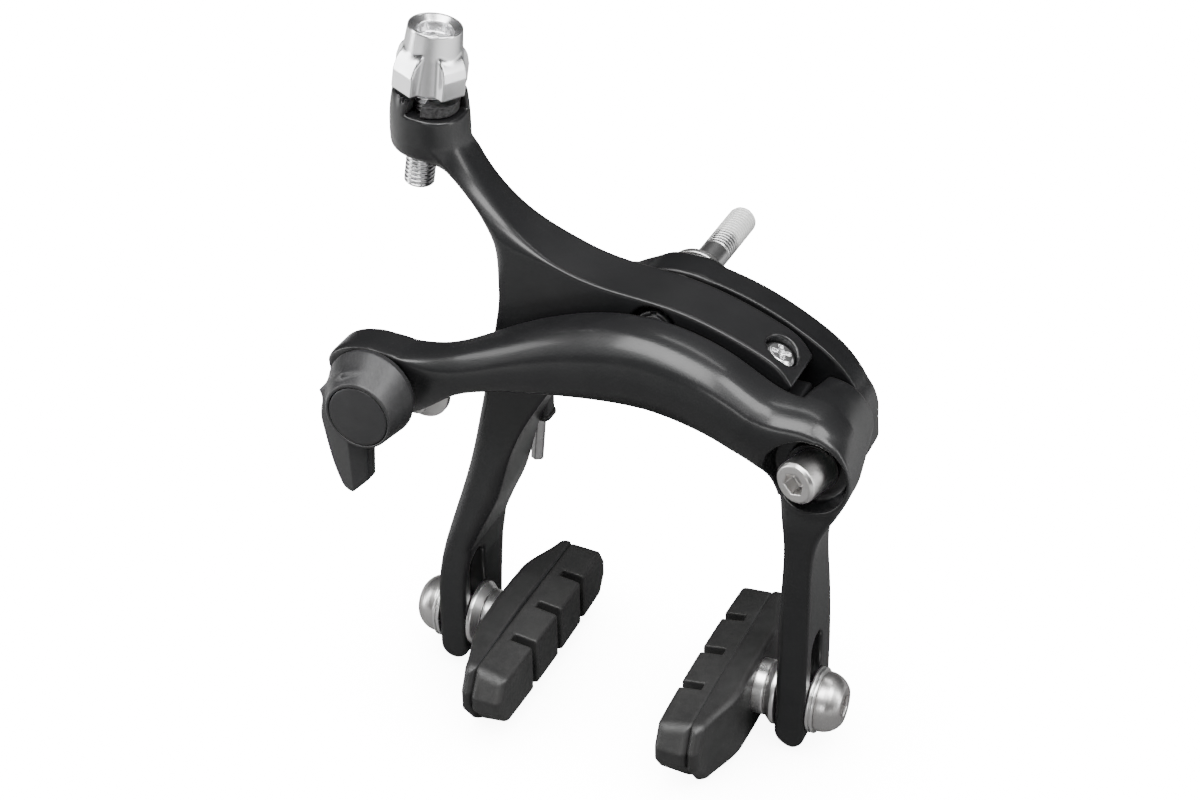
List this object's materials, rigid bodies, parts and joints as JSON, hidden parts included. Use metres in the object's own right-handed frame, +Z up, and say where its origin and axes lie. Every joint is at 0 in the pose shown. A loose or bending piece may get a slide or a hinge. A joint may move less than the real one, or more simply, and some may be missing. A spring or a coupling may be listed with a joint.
{
  "type": "rim brake caliper",
  "caption": "dual-pivot side-pull rim brake caliper with cable adjuster, quick-release lever, sculpted arms and slotted legs carrying grooved rubber pads",
  "frame": {"origin": "on the mounting stud's axis, at the plane where the caliper seats on the fork crown or frame bridge", "axes": "+Y rearward along the mounting stud, +Z up with the pads hanging below, +X toward the side pivot"},
  "size_m": [0.1053, 0.0785, 0.139],
  "materials": {
    "black_paint": "satin",
    "steel": "satin",
    "bright_alloy": "polished",
    "black_plastic": "matte",
    "rubber": "matte",
    "bush_plastic": "smooth"
  },
  "bodies": {
    "mount": {"bridge": "black_paint", "mount_bolt": "steel", "mount_washer": "black_paint", "centre_pivot_nut": "steel", "centre_thrust_washer": "steel", "side_pivot_bolt": "steel", "side_thrust_washer": "steel", "side_head_washer": "steel", "return_spring": "steel"},
    "back_arm_group": {"back_arm": "black_paint", "centre_pivot_bush": "bush_plastic", "adjuster_collar": "black_plastic", "spring_shoe": "black_plastic"},
    "front_arm_group": {"front_arm": "black_paint", "side_pivot_bush": "bush_plastic"},
    "release": {"release_lever": "black_plastic", "release_cap": "black_plastic"},
    "cable_anchor": {"anchor_bolt": "steel", "anchor_plate": "steel"},
    "adjuster_screw": {"adjuster_bolt": "steel"},
    "adjuster_knob_group": {"adjuster_knob": "bright_alloy"},
    "centring": {"centring_screw": "steel"},
    "left_pad": {"left_outer_washer": "steel", "left_concave_washer": "steel", "left_convex_washer": "steel", "left_pad_bolt": "steel", "left_pad_holder": "rubber", "left_brake_pad": "rubber"},
    "right_pad": {"right_outer_washer": "steel", "right_concave_washer": "steel", "right_convex_washer": "steel", "right_pad_bolt": "steel", "right_pad_holder": "rubber", "right_brake_pad": "rubber"}
  },
  "joints": [
    {"name": "front_arm_pivot", "type": "hinge", "parent": "mount", "child": "front_arm_group", "pos_m": [0.0344, -0.02, -0.0186], "axis": [0, 1, 0], "range_deg": [0, 8], "stiffness_Nm_per_rad": 2},
    {"name": "back_arm_pivot", "type": "hinge", "parent": "mount", "child": "back_arm_group", "pos_m": [0, -0.016, 0], "axis": [0, 1, 0], "range_deg": [-6, 0], "deforming": ["return_spring"]},
    {"name": "release_turn", "type": "hinge", "parent": "front_arm_group", "child": "release", "pos_m": [-0.0528, -0.041, -0.0184], "axis": [0, 1, 0], "range_deg": [0, 80]},
    {"name": "anchor_shift", "type": "slide", "parent": "front_arm_group", "child": "cable_anchor", "axis": [0, 0, 1], "range_m": [0, 0.00295]},
    {"name": "adjuster_turn", "type": "hinge", "parent": "adjuster_screw", "child": "adjuster_knob_group", "pos_m": [-0.04743, -0.017, 0.04365], "axis": [0.1668, 0, 0.986], "range_deg": [0, 2880]},
    {"name": "adjuster_travel", "type": "slide", "parent": "back_arm_group", "child": "adjuster_screw", "axis": [0.1668, 0, 0.986], "range_m": [0, 0.0079]},
    {"name": "centring_turn", "type": "hinge", "parent": "back_arm_group", "child": "centring", "pos_m": [0.024, -0.0175, -0.0022], "axis": [0.454, 0, 0.891], "range_deg": [-180, 180]},
    {"name": "left_pad_height", "type": "slide", "parent": "back_arm_group", "child": "left_pad", "axis": [0, 0, 1], "range_m": [-0.001, 0.008]},
    {"name": "right_pad_height", "type": "slide", "parent": "front_arm_group", "child": "right_pad", "axis": [0, 0, 1], "range_m": [-0.001, 0.01]}
  ],
  "couplings": [
    {"joint": "back_arm_pivot", "follows": "front_arm_pivot", "ratio": -0.74},
    {"joint": "release_turn", "follows": "anchor_shift", "rad_per_m": 471.7},
    {"joint": "adjuster_turn", "follows": "adjuster_travel", "rad_per_m": 6283.2}
  ]
}
